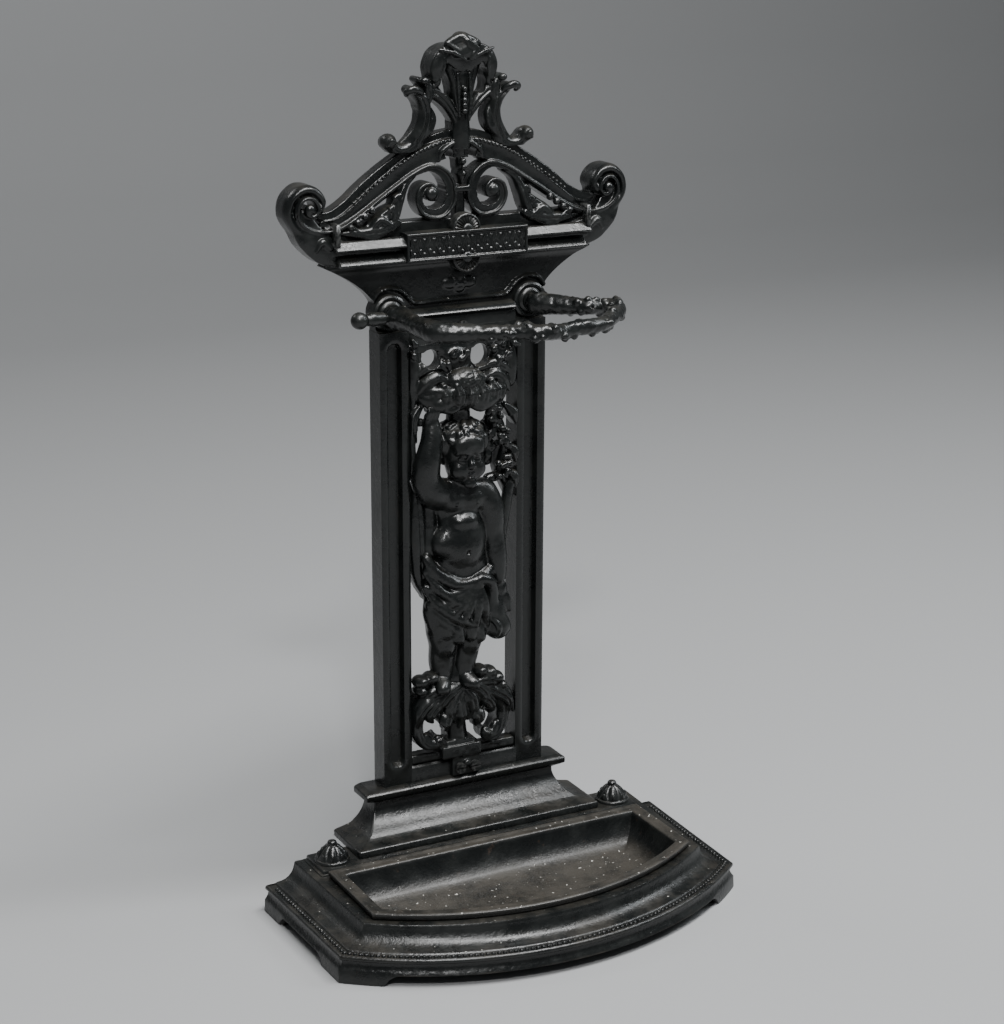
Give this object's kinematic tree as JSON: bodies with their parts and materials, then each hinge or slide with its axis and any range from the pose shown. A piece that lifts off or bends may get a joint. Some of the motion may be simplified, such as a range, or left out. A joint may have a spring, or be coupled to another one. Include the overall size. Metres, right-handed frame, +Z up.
{
  "type": "umbrella stand",
  "caption": "Tall cast-iron umbrella stand with a pierced back, a standing figure, a scrolled crest, a hinged branch-shaped hoop and a bow-fronted base with a lift-out drip tray.",
  "frame": {"origin": "on the floor under the centre of the whole stand's bounding box", "axes": "+Z up, -Y the bowed front that faces the user, +X to the right of someone who faces the front; the upright is at +Y"},
  "size_m": [0.434, 0.268, 0.82],
  "materials": {
    "black_enamel": "black enamel paint, semi-gloss, thick over a sand-cast surface, with worn bright edges",
    "tray_enamel": "worn black enamel dulled by brown dust and rust on the floor of the tray",
    "screw_steel": "dull steel, lightly rusted"
  },
  "bodies": {
    "stand": {"base_casting": "black_enamel", "foot_apron": "black_enamel", "back_frame": "black_enamel", "figure_panel": "black_enamel", "crest_plate": "black_enamel", "finial": "black_enamel", "plaque": "black_enamel", "rosette_left": "black_enamel", "rosette_right": "black_enamel", "rosette_nuts": "screw_steel", "apron_screws": "screw_steel", "frame_screws": "screw_steel", "panel_screws": "black_enamel", "crest_screws": "screw_steel", "plaque_screws": "screw_steel", "finial_screw": "screw_steel"},
    "tray": {"drip_tray": "tray_enamel"},
    "hoop_arm": {"hoop": "black_enamel", "hinge_pin_left": "black_enamel", "hinge_pin_right": "black_enamel"}
  },
  "joints": [
    {"name": "tray_lift", "type": "slide", "parent": "stand", "child": "tray", "axis": [0, 0, 1], "range_m": [0, 0.12]},
    {"name": "hoop_hinge", "type": "hinge", "parent": "stand", "child": "hoop_arm", "pos_m": [0, 0.1, 0.568], "axis": [-1, 0, 0], "range_deg": [0, 70]}
  ]
}
